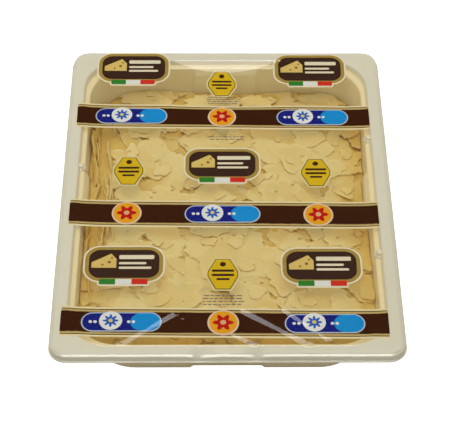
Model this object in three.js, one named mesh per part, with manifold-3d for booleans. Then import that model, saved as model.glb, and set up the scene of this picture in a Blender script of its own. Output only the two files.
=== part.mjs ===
// Shut catering pack of shaved hard cheese: a shallow moulded tray, the heap of flakes in it and
// the clear lid film that is sealed over it. Millimetres, +Z up, origin at the middle of the base.
import * as THREE from 'three';
import Module from 'manifold-3d';

const wasm = await Module();
wasm.setup();

// ---------------------------------------------------------------- driving dimensions
const TRAY_WIDTH = 265; // across X, over the lip
const TRAY_LENGTH = 325; // along Y, over the lip
const TRAY_HEIGHT = 50; // base to flange top
const WALL = 0.9; // sheet thickness after moulding
const RIM_CORNER = 14; // corner radius of the lip
const BOWL_WIDTH = 240; // opening inside the flange
const BOWL_LENGTH = 302;
const BOWL_CORNER = 32;
const CORNER_GROWTH = 0.35; // the wall's corners open out towards the floor
const CORNER_STEPS = 4;
const SKIRT_DROP = 5.6; // flange top down to the lip

const PANEL_HALF = 26; // pressed-in panel in the middle of each wall
const PANEL_BLEND = 2.5;
const PANEL_DEPTH = 1.9;
const DIP_AT = 22; // two sharp dips in the front rim, with a shallow arch between them
const DIP_DEPTH = 3.2;
const DIP_SPREAD = 3.5; // a dip fades out by this much either side
const ARCH_SHARE = 0.16; // of the dips' depth

const LUG_RADIUS = 2.4; // stacking lugs under the flange
const LUG_DEPTH = 4.6;
const LUG_PLACES = { left: 30, right: 61.5 }; // either side of the middle of each long wall

const HEAP_MIDDLE = 42; // height of the flakes under the middle of the film
const HEAP_CLEAR = 0.6; // heap to tray
const CORE_CELL = 24;
const CORE_SUNK = 5; // packed flakes lie this far under the ones on top
const CORE_ROUGH = 1.5;
const FLAKE_THICK = 1.5;
const FLAKE_SIZES = [14, 22]; // half widths, smallest and largest
const FLAKE_SPACING = 29; // mean spacing of the flakes that lie on the heap
const STANDING_SPACING = 13; // of the flakes on edge along the left wall
const SEED = 41;

const FILM_THICK = 0.4;
const FILM_INSET = 3;
const GAP = 0.3;

// ---------------------------------------------------------------- rings and lofts
// Places along one straight side where a ring has a point: panel edges, and the dips in front.
const PANEL_STOPS = [-PANEL_HALF - PANEL_BLEND, -PANEL_HALF, PANEL_HALF, PANEL_HALF + PANEL_BLEND];
const DIP_END = DIP_AT + 3 * DIP_SPREAD;
const DIP_STOPS = [DIP_AT * 0.5, DIP_AT * 0.82, DIP_AT, DIP_END].flatMap((stop) => [-stop, stop]);
const FRONT_STOPS = [...PANEL_STOPS, 0, ...DIP_STOPS].sort((a, b) => a - b);

const smooth = (low, high, value) => {
  const t = THREE.MathUtils.clamp((value - low) / (high - low), 0, 1);
  return t * t * (3 - 2 * t);
};

// How far the front rim has dropped at x, as a share of the full dip.
function rimDip(x) {
  const reach = Math.abs(x);
  const tip = (1 - ARCH_SHARE) * Math.exp(-Math.abs(reach - DIP_AT) / DIP_SPREAD);
  const arch = ARCH_SHARE * Math.min(1, reach / DIP_AT) ** 2;
  return (tip + arch) * (1 - smooth(DIP_AT, DIP_END, reach));
}

// One rounded rectangle, counter-clockwise seen from above. `panel` presses the middle of each
// side inwards and `dip` lowers the front side.
function ring({ width, length, corner, z, panel = 0, dip = 0 }) {
  const points = [];
  for (let side = 0; side < 4; side += 1) {
    const turn = (side * Math.PI) / 2;
    const [cos, sin] = [Math.round(Math.cos(turn)), Math.round(Math.sin(turn))];
    const reach = side % 2 ? width / 2 : length / 2;
    const along = (side % 2 ? length : width) / 2 - corner;
    const place = (s, out) => [cos * s + sin * out, sin * s - cos * out];
    for (const s of side ? PANEL_STOPS : FRONT_STOPS) {
      const pressed = Math.abs(s) <= PANEL_HALF ? panel * PANEL_DEPTH : 0;
      const drop = side ? 0 : dip * DIP_DEPTH * rimDip(s);
      points.push([...place(s, reach - pressed), z - drop]);
    }
    for (let i = 0; i <= CORNER_STEPS; i += 1) {
      const a = (i / CORNER_STEPS) * (Math.PI / 2);
      const out = reach - corner + corner * Math.cos(a);
      points.push([...place(along + corner * Math.sin(a), out), z]);
    }
  }
  return points;
}

// Skin over a stack of rings, closed at both ends by a point in the middle of the end ring.
function loft(rings, startPole, endPole) {
  const count = rings[0].length;
  const vertices = [startPole, ...rings.flat(), endPole];
  const last = vertices.length - 1;
  const triangles = [];
  for (let i = 0; i < count; i += 1) {
    const next = (i + 1) % count;
    triangles.push([0, 1 + next, 1 + i]);
    for (let r = 0; r + 1 < rings.length; r += 1) {
      const a = 1 + r * count;
      const b = a + count;
      triangles.push([a + i, a + next, b + next], [a + i, b + next, b + i]);
    }
    const top = 1 + (rings.length - 1) * count;
    triangles.push([top + i, top + next, last]);
  }
  return { vertices, triangles };
}

// ---------------------------------------------------------------- solids
const toManifold = ({ vertices, triangles }) =>
  new wasm.Manifold(
    new wasm.Mesh({
      numProp: 3,
      vertProperties: Float32Array.from(vertices.flat()),
      triVerts: Uint32Array.from(triangles.flat()),
    }),
  );

function toGeometry(solid) {
  const mesh = solid.getMesh();
  const geometry = new THREE.BufferGeometry();
  geometry.setAttribute('position', new THREE.Float32BufferAttribute(mesh.vertProperties, 3));
  geometry.setIndex([...mesh.triVerts]);
  geometry.computeVertexNormals();
  return geometry;
}

// ---------------------------------------------------------------- tray
// Sections of the sheet's upper face, as a distance inwards from the lip or from the opening.
const rimSection = (inset, z, dip) => ({
  width: TRAY_WIDTH - 2 * inset,
  length: TRAY_LENGTH - 2 * inset,
  corner: RIM_CORNER - inset,
  z,
  dip,
});
const bowlSection = (inset, z, panel) => ({
  width: BOWL_WIDTH - 2 * inset,
  length: BOWL_LENGTH - 2 * inset,
  corner: BOWL_CORNER + CORNER_GROWTH * inset,
  z,
  panel,
});

const FLOOR = WALL;
const FLOOR_RAISE = 1.2;
const WALL_TOP = [4.9, TRAY_HEIGHT - 6.2]; // inset and height where the ledge ends
const WALL_FOOT = [12, 7]; // and where the fillet to the floor begins
const BOWL_PROFILE = [
  [-1, TRAY_HEIGHT, 0],
  [0, TRAY_HEIGHT - 0.8, 0],
  [1.2, TRAY_HEIGHT - 4.8, 0],
  [4.2, TRAY_HEIGHT - 5.4, 0],
  [...WALL_TOP, 0],
  [WALL_TOP[0] + 0.9, WALL_TOP[1] - 5, 1],
  [...WALL_FOOT, 1],
  [13.6, 3.2, 1],
  [17, FLOOR, 1],
  [31, FLOOR, 0],
  [33, FLOOR + FLOOR_RAISE, 0],
];
const RIM_PROFILE = [
  [7, TRAY_HEIGHT, 0],
  [3.4, TRAY_HEIGHT, 0.6],
  [2.4, TRAY_HEIGHT - 0.5, 1],
  [1.9, TRAY_HEIGHT - 1.6, 1],
  [1.4, TRAY_HEIGHT - SKIRT_DROP + 0.4, 0],
  [0, TRAY_HEIGHT - SKIRT_DROP, 0],
];

// The sheet's lower face: every stretch of the profile moved by the wall thickness along its
// normal, so each section lands where the two moved stretches beside it meet.
function lowerFace(sections) {
  const normals = sections.slice(1).map((after, i) => {
    const run = (after.width - sections[i].width) / 2;
    const rise = after.z - sections[i].z;
    return new THREE.Vector2(rise, -run).normalize();
  });
  return sections.map((section, i) => {
    const before = normals[Math.max(i - 1, 0)];
    const after = normals[Math.min(i, normals.length - 1)];
    const shift = before.clone().add(after).multiplyScalar(WALL / (1 + before.dot(after)));
    return {
      ...section,
      width: section.width + 2 * shift.x,
      length: section.length + 2 * shift.x,
      corner: section.corner + shift.x,
      z: section.z + shift.y,
    };
  });
}

function trayShell() {
  const bowl = BOWL_PROFILE.map((stop) => bowlSection(...stop)).reverse();
  const rim = RIM_PROFILE.map((stop) => rimSection(...stop));
  const upper = [...bowl, ...rim];
  const lower = lowerFace(upper);
  const end = upper.length - 1;
  lower[end] = { ...upper[end], z: upper[end].z - WALL };
  const rings = [...lower, ...upper.reverse()].map(ring);
  return loft(rings, [0, 0, lower[0].z], [0, 0, FLOOR + FLOOR_RAISE]);
}

// A small upright half-round nub on the drop below the flange, on which the tray above rests.
function lug(x, y) {
  const high = TRAY_HEIGHT - 0.4;
  const rounds = (z) =>
    Array.from({ length: 8 }, (_, i) => {
      const a = (i / 8) * Math.PI * 2;
      return [x + LUG_RADIUS * Math.cos(a), y + LUG_RADIUS * Math.sin(a), z];
    });
  const low = high - LUG_DEPTH;
  return toManifold(loft([rounds(low), rounds(high)], [x, y, low], [x, y, high]));
}

function traySolid() {
  let tray = toManifold(trayShell());
  const inside = BOWL_WIDTH / 2 - 1.6;
  for (const [x, y] of [
    [-inside, LUG_PLACES.left],
    [-inside, -LUG_PLACES.left],
    [inside, LUG_PLACES.right],
    [inside, -LUG_PLACES.right],
  ]) {
    tray = tray.add(lug(x, y));
  }
  return toGeometry(tray);
}

// ---------------------------------------------------------------- cheese
// Small repeatable random numbers from 0 to 1.
function seeded(seed) {
  let state = seed;
  return () => {
    state = (state * 1664525 + 1013904223) % 4294967296;
    return state / 4294967296;
  };
}
const random = seeded(SEED);
const between = (low, high) => low + (high - low) * random();

// Height of the heap: nearly level up to the walls, and falling away along the back one, less
// along the front and the left one.
function heapHeight(x, y) {
  const back = 17 * smooth(84, 138, y);
  const front = 6 * smooth(112, 142, -y);
  const left = 3 * smooth(84, 112, -x);
  const swell = 1.5 * Math.sin(x / 31 + 0.6) * Math.cos(y / 37) - 1.5;
  return HEAP_MIDDLE - back - front - left + swell;
}

// The room inside the tray, HEAP_CLEAR away from its walls and floor.
function trayRoom() {
  const floor = FLOOR + FLOOR_RAISE + HEAP_CLEAR;
  const stops = [
    [17, floor, 1],
    [13, 5, 1],
    [WALL_FOOT[0], WALL_FOOT[1] + 1, 1],
    [WALL_TOP[0] + 1, WALL_TOP[1] - 6, 1],
    [WALL_TOP[0], WALL_TOP[1], 1],
    [WALL_TOP[0], TRAY_HEIGHT - 2, 1],
  ];
  const rings = stops.map(([inset, z, panel]) => ring(bowlSection(inset + HEAP_CLEAR, z, panel)));
  return toManifold(loft(rings, [0, 0, floor], [0, 0, TRAY_HEIGHT - 2]));
}

// Packed flakes under the ones that show: a block with a rough top, on a grid of cells whose
// diagonals alternate.
function heapCore() {
  const columns = Math.ceil(BOWL_WIDTH / CORE_CELL);
  const rows = Math.ceil(BOWL_LENGTH / CORE_CELL);
  const vertices = [];
  const index = (i, j) => j * (columns + 1) + i;
  for (let j = 0; j <= rows; j += 1) {
    for (let i = 0; i <= columns; i += 1) {
      const x = (i / columns - 0.5) * BOWL_WIDTH;
      const y = (j / rows - 0.5) * BOWL_LENGTH;
      vertices.push([x, y, heapHeight(x, y) - CORE_SUNK + between(-CORE_ROUGH, CORE_ROUGH)]);
    }
  }
  const triangles = [];
  for (let j = 0; j < rows; j += 1) {
    for (let i = 0; i < columns; i += 1) {
      const [a, b] = [index(i, j), index(i + 1, j)];
      const [c, d] = [index(i + 1, j + 1), index(i, j + 1)];
      if ((i + j) % 2) triangles.push([a, b, c], [a, c, d]);
      else triangles.push([a, b, d], [b, c, d]);
    }
  }
  const border = [];
  for (let i = 0; i < columns; i += 1) border.push(index(i, 0));
  for (let j = 0; j < rows; j += 1) border.push(index(columns, j));
  for (let i = columns; i > 0; i -= 1) border.push(index(i, rows));
  for (let j = rows; j > 0; j -= 1) border.push(index(0, j));
  const under = vertices.length;
  for (const k of border) vertices.push([vertices[k][0], vertices[k][1], 0]);
  const middle = vertices.length;
  vertices.push([0, 0, 0]);
  border.forEach((k, n) => {
    const next = (n + 1) % border.length;
    triangles.push([under + n, under + next, border[next]], [under + n, border[next], k]);
    triangles.push([middle, under + next, under + n]);
  });
  return toManifold({ vertices, triangles });
}

const OUTLINE_POINTS = 8;
const HEART_POINTS = 4;

// A thin wavy slice with a torn, uneven edge. Its two faces are split into triangles alike.
function flake({ x, y, z, size, heading, tilt, tiltToward }) {
  const longer = between(1.02, 1.24);
  const phases = [between(0, 6.28), between(0, 6.28)];
  const curl = between(-0.009, 0.012);
  const twist = between(-0.006, 0.006);
  const rim = [];
  for (let i = 0; i < OUTLINE_POINTS; i += 1) {
    const a = ((i + between(-0.3, 0.3)) / OUTLINE_POINTS) * Math.PI * 2;
    const lobes = 0.14 * Math.sin(2 * a + phases[0]) + 0.1 * Math.sin(3 * a + phases[1]);
    const reach = size * (1 + lobes + between(-0.13, 0.09));
    rim.push([reach * longer * Math.cos(a), (reach / longer) * Math.sin(a)]);
  }
  const heart = [];
  for (let i = 0; i < HEART_POINTS; i += 1) {
    const [px, py] = rim[2 * i];
    heart.push([px * 0.5, py * 0.5]);
  }
  const flat = [...rim, ...heart];
  const face = [];
  for (let i = 0; i < HEART_POINTS; i += 1) {
    const [a, b, c] = [2 * i, 2 * i + 1, (2 * i + 2) % OUTLINE_POINTS];
    const h = OUTLINE_POINTS + i;
    const k = OUTLINE_POINTS + ((i + 1) % HEART_POINTS);
    face.push([h, a, b], [h, b, k], [k, b, c]);
  }
  for (let i = 1; i + 1 < HEART_POINTS; i += 1) {
    face.push([OUTLINE_POINTS, OUTLINE_POINTS + i, OUTLINE_POINTS + i + 1]);
  }
  const place = new THREE.Matrix4().makeTranslation(x, y, z);
  const axis = new THREE.Vector3(Math.cos(tiltToward), Math.sin(tiltToward), 0);
  place.multiply(new THREE.Matrix4().makeRotationAxis(axis, tilt));
  place.multiply(new THREE.Matrix4().makeRotationZ(heading));
  const vertices = [];
  for (const half of [FLAKE_THICK / 2, -FLAKE_THICK / 2]) {
    for (const [px, py] of flat) {
      const bend = curl * px * px + twist * px * py;
      vertices.push(new THREE.Vector3(px, py, bend + half).applyMatrix4(place).toArray());
    }
  }
  const under = flat.length;
  const triangles = [...face, ...face.map(([a, b, c]) => [a + under, c + under, b + under])];
  for (let i = 0; i < OUTLINE_POINTS; i += 1) {
    const next = (i + 1) % OUTLINE_POINTS;
    triangles.push([i, i + under, next + under], [i, next + under, next]);
  }
  return toManifold({ vertices, triangles });
}

// Flakes lying over one another all over the heap, on a jittered grid.
function lyingFlakes() {
  const flakes = [];
  const columns = Math.floor(BOWL_WIDTH / FLAKE_SPACING);
  const rows = Math.floor(BOWL_LENGTH / FLAKE_SPACING);
  for (let row = 0; row < rows; row += 1) {
    for (let column = 0; column < columns; column += 1) {
      const x = (column - (columns - 1) / 2 + between(-0.35, 0.35)) * FLAKE_SPACING;
      const y = (row - (rows - 1) / 2 + between(-0.35, 0.35)) * FLAKE_SPACING;
      flakes.push(
        flake({
          x,
          y,
          z: heapHeight(x, y) + between(-3.5, 1),
          size: between(...FLAKE_SIZES),
          heading: between(0, 6.28),
          tilt: between(0.05, 0.3),
          tiltToward: between(0, 6.28),
        }),
      );
    }
  }
  return flakes;
}

// Flakes that stand on edge between the heap and the left wall.
function standingFlakes() {
  const flakes = [];
  for (let y = -82; y <= 74; y += STANDING_SPACING) {
    flakes.push(
      flake({
        x: between(-104, -91),
        y: y + between(-4, 4),
        z: between(27, 31),
        size: between(13, 17),
        heading: between(0, 6.28),
        tilt: between(1.15, 1.5),
        tiltToward: Math.PI / 2 + between(-0.5, 0.5),
      }),
    );
  }
  return flakes;
}

function heapSolid() {
  let heap = heapCore();
  for (const piece of [...lyingFlakes(), ...standingFlakes()]) heap = heap.add(piece);
  const pieces = heap.intersect(trayRoom()).decompose();
  return pieces.reduce((best, piece) => (piece.volume() > best.volume() ? piece : best));
}

// ---------------------------------------------------------------- lid film
function filmSolid() {
  const outline = (z) => ring(rimSection(FILM_INSET, z, 0));
  const low = TRAY_HEIGHT + GAP;
  const high = low + FILM_THICK;
  return toGeometry(toManifold(loft([outline(low), outline(high)], [0, 0, low], [0, 0, high])));
}

// ---------------------------------------------------------------- the pack
const plastic = new THREE.MeshStandardMaterial({ color: 0xd7cfbd, roughness: 0.38, metalness: 0 });
const cheese = new THREE.MeshStandardMaterial({ color: 0xd9bf7c, roughness: 0.6, metalness: 0 });
const film = new THREE.MeshStandardMaterial({
  color: 0xf4f1e8,
  roughness: 0.12,
  metalness: 0,
  transparent: true,
  opacity: 0.3,
});

const pack = new THREE.Group();
const named = [
  ['tray', traySolid(), plastic],
  ['cheese_flakes', toGeometry(heapSolid()), cheese],
  ['lid_film', filmSolid(), film],
];
for (const [name, geometry, material] of named) {
  const mesh = new THREE.Mesh(geometry, material);
  mesh.name = name;
  pack.add(mesh);
}

export default pack;
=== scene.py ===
import math

import bpy
import numpy as np
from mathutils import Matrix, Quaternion, Vector


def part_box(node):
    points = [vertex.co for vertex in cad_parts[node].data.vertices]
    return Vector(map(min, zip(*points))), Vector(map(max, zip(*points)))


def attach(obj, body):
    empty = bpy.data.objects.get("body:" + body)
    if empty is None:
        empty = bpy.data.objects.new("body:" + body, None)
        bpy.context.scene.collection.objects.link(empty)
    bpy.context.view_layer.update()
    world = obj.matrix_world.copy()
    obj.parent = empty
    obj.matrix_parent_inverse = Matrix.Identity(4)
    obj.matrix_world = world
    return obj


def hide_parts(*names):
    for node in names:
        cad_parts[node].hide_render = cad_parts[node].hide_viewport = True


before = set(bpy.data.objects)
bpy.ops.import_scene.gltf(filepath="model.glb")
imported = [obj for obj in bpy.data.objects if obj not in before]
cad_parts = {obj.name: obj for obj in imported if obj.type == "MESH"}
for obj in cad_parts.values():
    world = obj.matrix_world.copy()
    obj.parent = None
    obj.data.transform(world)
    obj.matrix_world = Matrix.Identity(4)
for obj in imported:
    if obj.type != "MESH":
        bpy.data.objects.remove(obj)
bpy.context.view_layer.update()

# ------------------------ tray
# The tray is one sheet of cream plastic, formed over a mould: a wide flat rim with a turned-down
# skirt and lip, a stacking ledge just below the opening, drafted walls with a panel pressed into the
# middle of each, and a floor raised a little inside its foot.
MM = 0.001
TRAY_WIDTH, TRAY_LENGTH, TRAY_HEIGHT = np.subtract(*reversed(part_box("tray"))) / MM
WALL = 0.9
RIM_CORNER = 14
BOWL_WIDTH = TRAY_WIDTH - 25
BOWL_LENGTH = TRAY_LENGTH - 23
BOWL_CORNER = 32
CORNER_GROWTH = 0.35
CORNER_STEPS = 14
SKIRT_DROP = 5.6
PANEL_HALF = 26
PANEL_BLEND = 2.5
PANEL_DEPTH = 1.9
DIP_AT = 22
DIP_DEPTH = 3.2
DIP_SPREAD = 4
DIP_FADES = (27, 34)
ARCH_SHARE = 0.7
CLOSE_SPAN = (18, 34)
CREAM_PALE = (0.68, 0.642, 0.492, 1)
CREAM_DEEP = (0.60, 0.552, 0.40, 1)
# Painted bounce light: the colour that stands in for the glow the cheese throws onto the walls, and the
# heights over which it fades in.
CREAM_PAINTED_BOUNCE = (0.76, 0.63, 0.35, 1)
GLOW_FADES = (41, 45)
GLOW_RISES = (4, 4.6)


def smooth(low, high, value):
    """0 below low, 1 above high, and 3t^2 - 2t^3 between them."""
    t = np.clip((value - low) / (high - low), 0, 1)
    return t * t * (3 - 2 * t)


def rim_dip(x):
    """Share of the full dip of the front rim at x: two sharp tips, from which it falls off outwards
    as exp(-distance / spread), and between them mostly an arch that grows with the square of x."""
    reach = np.abs(x)
    tip = np.exp(-np.abs(reach - DIP_AT) / DIP_SPREAD)
    arch = ARCH_SHARE * (reach / DIP_AT) ** 2 + (1 - ARCH_SHARE) * tip
    return np.where(reach < DIP_AT, arch, tip) * (1 - smooth(*DIP_FADES, reach))


def outlines(stations):
    """Rounded rectangles, counter-clockwise seen from above, as (stations, around, 3) points.

    A station is width, length, corner radius, height, press and dip. A side is a straight line,
    moved inwards by press times the panel's depth near its middle, and the front side is lowered
    by dip times rim_dip. A corner is a quarter circle. Points are closer over CLOSE_SPAN, where
    the dip's tips and the panel's edges are."""
    width, length, corner, height, press, dip = np.asarray(stations, float).T[:, :, None]
    close = np.linspace(*CLOSE_SPAN, 17)
    gap = CLOSE_SPAN[0] - 2
    middle = np.concatenate([-close[::-1], np.linspace(-gap, gap, 9), close])
    panel = 1 - smooth(PANEL_HALF, PANEL_HALF + PANEL_BLEND, np.abs(middle))
    quarter = np.linspace(0, math.pi / 2, CORNER_STEPS + 1)
    runs = []
    for side in range(4):
        cos, sin = [(1, 0), (0, 1), (-1, 0), (0, -1)][side]
        out, half = (width / 2, length / 2) if side % 2 else (length / 2, width / 2)
        bend = half - corner + corner * np.sin(quarter)
        along = np.concatenate([middle + 0 * out, bend], axis=1)
        straight, curved = out - press * PANEL_DEPTH * panel, out - corner + corner * np.cos(quarter)
        away = np.concatenate([straight, curved], axis=1)
        z = height - (dip * DIP_DEPTH * rim_dip(along) if side == 0 else 0 * along)
        runs.append(np.stack([cos * along + sin * away, sin * along - cos * away, z], axis=2))
    return np.concatenate(runs, axis=1)


def rounded(stations, leg, steps=5):
    """The stations with each corner between them replaced by a quadratic Bezier curve, which starts
    and ends `leg` away from the corner, or 45% of the way to the next one if that is nearer."""
    stations = np.asarray(stations, float)
    before, corner, after = stations[:-2], stations[1:-1], stations[2:]

    def towards(end):
        way = end - corner
        distance = np.hypot(way[:, 0] / 2, way[:, 3])
        return corner + way * np.minimum(leg / distance, 0.45)[:, None]

    t = np.linspace(0, 1, steps + 1)[None, :, None]
    start, end = towards(before)[:, None], towards(after)[:, None]
    curve = (1 - t) ** 2 * start + 2 * t * (1 - t) * corner[:, None] + t**2 * end
    return np.concatenate([stations[:1], curve.reshape(-1, stations.shape[1]), stations[-1:]])


def lower_face(stations):
    """The sheet's underside: each stretch of the profile moved by WALL along its normal, and each
    station put where the two moved stretches beside it meet."""
    half, height = stations[:, 0] / 2, stations[:, 3]
    normal = np.stack([np.diff(height), -np.diff(half)], axis=1)
    normal /= np.linalg.norm(normal, axis=1, keepdims=True)
    before, after = normal[[0, *range(len(normal))]], normal[[*range(len(normal)), -1]]
    shift = (before + after) * WALL / (1 + np.sum(before * after, axis=1, keepdims=True))
    moved = stations.copy()
    moved[:, :2] += 2 * shift[:, :1]
    moved[:, 2] += shift[:, 0]
    moved[:, 3] += shift[:, 1]
    return moved


def skin(rings):
    """Points and faces of closed surfaces, one for each stack in rings (pieces, rings, around, 3).
    Neighbouring rings are joined by quads, and each end ring by a fan to its own middle."""
    pieces, count, around = rings.shape[:3]
    points = np.concatenate([rings.reshape(pieces, -1, 3), rings[:, [0, -1]].mean(axis=2)], axis=1)
    i = np.arange(around)
    after = (i + 1) % around
    start = np.arange(count - 1)[:, None] * around
    quads = np.stack([start + i, start + after, start + around + after, start + around + i], axis=2)
    low = np.stack([0 * i + count * around, after, i], axis=1)
    top = (count - 1) * around
    high = np.stack([top + i, top + after, 0 * i + count * around + 1], axis=1)
    offset = np.arange(pieces)[:, None, None] * points.shape[1]
    faces = []
    for block in (quads, low, high):
        corners = block.shape[-1]
        faces.append((block.reshape(1, -1, corners) + offset).reshape(-1, corners))
    return points.reshape(-1, 3), faces


def build(name, points, faces, material, slot=None, crease=40, values=None):
    """A mesh object at the origin that rides on the pack, from points in millimetres and arrays of
    faces. Edges sharper than `crease` degrees stay sharp, and values are named numbers per point."""
    mesh = bpy.data.meshes.new(name)
    mesh.vertices.add(len(points))
    mesh.vertices.foreach_set("co", (points * MM).astype(np.float32).ravel())
    corners = np.concatenate([block.ravel() for block in faces])
    sizes = np.concatenate([np.full(len(block), block.shape[1]) for block in faces])
    mesh.loops.add(len(corners))
    mesh.loops.foreach_set("vertex_index", corners.astype(np.int32))
    mesh.polygons.add(len(sizes))
    mesh.polygons.foreach_set("loop_start", (np.cumsum(sizes) - sizes).astype(np.int32))
    mesh.update(calc_edges=True)
    mesh.validate()
    mesh.shade_smooth()
    mesh.set_sharp_from_angle(angle=math.radians(crease))
    for key, numbers in (values or {}).items():
        mesh.attributes.new(key, "FLOAT", "POINT").data.foreach_set("value", numbers.astype(np.float32))
    piece = bpy.data.objects.new(name, mesh)
    bpy.context.scene.collection.objects.link(piece)
    mesh.materials.append(material)
    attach(piece, "root")
    return piece


def add(tree, kind, links=None, **settings):
    """A node in the tree. settings are the node's own properties, and links gives its inputs by
    name or number, each a number, a colour or another node's output."""
    made = tree.nodes.new(kind)
    for key, value in settings.items():
        setattr(made, key, value)
    for socket, value in (links or {}).items():
        if isinstance(value, bpy.types.NodeSocket):
            tree.links.new(value, made.inputs[socket])
        else:
            made.inputs[socket].default_value = value
    return made


def mixed(tree, kind, share, first, second):
    """first, mixed towards second by share: numbers where kind is FLOAT, and colours for RGBA."""
    start, end, out = {"FLOAT": (2, 3, 0), "RGBA": (6, 7, 2)}[kind]
    return add(tree, "ShaderNodeMix", {0: share, start: first, end: second}, data_type=kind).outputs[out]


def noise(tree, scale, detail):
    """Soft noise in the object's space."""
    place = add(tree, "ShaderNodeTexCoord").outputs["Object"]
    links = {"Vector": place, "Scale": scale, "Detail": detail}
    return add(tree, "ShaderNodeTexNoise", links).outputs["Fac"]


def effect(name, inputs, outputs):
    """An empty node group with those inputs and outputs, and its two end nodes."""
    tree = bpy.data.node_groups.new(name, "ShaderNodeTree")
    for side, sockets in (("INPUT", inputs), ("OUTPUT", outputs)):
        for socket, kind in sockets.items():
            tree.interface.new_socket(socket, in_out=side, socket_type="NodeSocket" + kind)
    return tree, tree.nodes.new("NodeGroupInput").outputs, tree.nodes.new("NodeGroupOutput").inputs


def drift_effect():
    """Slow change of colour over a surface: two tones mixed by soft noise in the object's space."""
    tree, given, wanted = effect(
        "colour_drift",
        {"Pale": "Color", "Deep": "Color", "Scale": "Float", "Lean": "Float"},
        {"Color": "Color"},
    )
    lean = {0: noise(tree, given["Scale"], 4), 1: given["Lean"]}
    mask = add(tree, "ShaderNodeMath", lean, operation="ADD", use_clamp=True).outputs[0]
    tree.links.new(mixed(tree, "RGBA", mask, given["Pale"], given["Deep"]), wanted["Color"])
    return tree


def relief_effect():
    """Height of a surface's fine relief: coarse swells with a finer grain on them."""
    tree, given, wanted = effect(
        "fine_relief", {"Swell": "Float", "Grain": "Float", "Share": "Float"}, {"Height": "Float"}
    )
    swell, grain = noise(tree, given["Swell"], 2), noise(tree, given["Grain"], 3)
    tree.links.new(mixed(tree, "FLOAT", given["Share"], swell, grain), wanted["Height"])
    return tree


DRIFT = drift_effect()
RELIEF = relief_effect()


def finish(name, pale, deep, scale, lean, relief, depth, shine):
    """A material whose colour drifts from pale to deep and whose surface has a fine relief: its
    swell, grain and share, and its depth in millimetres. shine sets the shader's own sockets."""
    material = bpy.data.materials.new(name)
    material.use_nodes = True
    tree = material.node_tree
    shader = tree.nodes["Principled BSDF"]
    drift = add(tree, "ShaderNodeGroup", node_tree=DRIFT)
    height = add(tree, "ShaderNodeGroup", node_tree=RELIEF)
    for made, values in ((drift, (pale, deep, scale, lean)), (height, relief)):
        for socket, value in zip(made.inputs, values):
            socket.default_value = value
    bump = add(tree, "ShaderNodeBump", {"Height": height.outputs["Height"], "Distance": depth * MM})
    tree.links.new(drift.outputs["Color"], shader.inputs["Base Color"])
    tree.links.new(bump.outputs["Normal"], shader.inputs["Normal"])
    for socket, value in shine.items():
        shader.inputs[socket].default_value = value
    return material


def bowl_station(inset, height, press=0.0):
    """The bowl's outline at a distance inwards from its opening."""
    corner = BOWL_CORNER + CORNER_GROWTH * inset
    return [BOWL_WIDTH - 2 * inset, BOWL_LENGTH - 2 * inset, corner, height, press, 0]


def rim_station(inset, height, dip=0.0):
    """The rim's outline at a distance inwards from its lip."""
    return [TRAY_WIDTH - 2 * inset, TRAY_LENGTH - 2 * inset, RIM_CORNER - inset, height, 0, dip]


# The floor's heights, the depth of the roll at the opening, and where the walls' parts meet, as
# pairs of inset and height.
FLOOR = WALL
RAISED = FLOOR + 1.2
ROLL = 0.8
LEDGE_END = (4.9, TRAY_HEIGHT - 6.2)
WALL_TOP = (LEDGE_END[0] + 0.9, LEDGE_END[1] - 5)
WALL_FOOT = (12, 7)
FOOT_INSET = 17
FLAT_MIDDLE = 38
BOWL = [
    bowl_station(FLAT_MIDDLE, RAISED),
    bowl_station(33, RAISED),
    bowl_station(31, FLOOR),
    bowl_station(FOOT_INSET, FLOOR, 1),
    bowl_station(13.6, 3.2, 1),
    bowl_station(*WALL_FOOT, 1),
    bowl_station(*WALL_TOP, 1),
    bowl_station(*LEDGE_END),
    bowl_station(4.2, TRAY_HEIGHT - 5.4),
    bowl_station(1.2, TRAY_HEIGHT - 4.8),
    bowl_station(0, TRAY_HEIGHT - ROLL),
    bowl_station(-1, TRAY_HEIGHT),
]
RIM = [
    rim_station(10, TRAY_HEIGHT),
    rim_station(4.0, TRAY_HEIGHT, 0.88),
    rim_station(2.0, TRAY_HEIGHT - 1.1, 1),
    rim_station(1.5, TRAY_HEIGHT - 2.0, 1),
    rim_station(1.3, TRAY_HEIGHT - SKIRT_DROP + 0.3),
    rim_station(0, TRAY_HEIGHT - SKIRT_DROP),
]


def tray_shell():
    """The sheet: its profile's underside from the middle outwards, then its upper face back."""
    upper = np.array(BOWL + RIM, float)
    lower = lower_face(upper)
    lower[-1] = upper[-1]
    lower[-1, 3] -= WALL
    profile = np.concatenate([lower, upper[::-1]])
    return skin(outlines(rounded(profile, leg=0.6))[None])


def inside_opening(x, y):
    """Distance inwards from the opening's edge: to its straight sides, or to the quarter circles
    at its corners."""
    past_x = np.abs(x) - BOWL_WIDTH / 2 + BOWL_CORNER
    past_y = np.abs(y) - BOWL_LENGTH / 2 + BOWL_CORNER
    round_part = np.hypot(np.maximum(past_x, 0), np.maximum(past_y, 0))
    return BOWL_CORNER - round_part - np.minimum(np.maximum(past_x, past_y), 0)


def painted_bounce(points):
    """Share of the painted bounce light, the glow that the cheese would throw onto the sheet: none on
    the rim, and all of it below the ledge, or inside the opening from just under its edge. It fades
    over GLOW_FADES, and inside over heights that lie GLOW_RISES above those."""
    x, y, z = points.T
    inside = smooth(-0.4, 0.4, inside_opening(x, y))
    low, high = [level + rise * inside for level, rise in zip(GLOW_FADES, GLOW_RISES)]
    return 1 - smooth(low, high, z)


def tinted(material, attribute, tint):
    """The material with its colour mixed towards tint by an attribute of the mesh."""
    tree = material.node_tree
    colour = tree.nodes["Principled BSDF"].inputs["Base Color"]
    share = add(tree, "ShaderNodeAttribute", attribute_name=attribute, attribute_type="GEOMETRY")
    tones = (colour.links[0].from_socket, tint)
    tree.links.new(mixed(tree, "RGBA", share.outputs["Fac"], *tones), colour)


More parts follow.
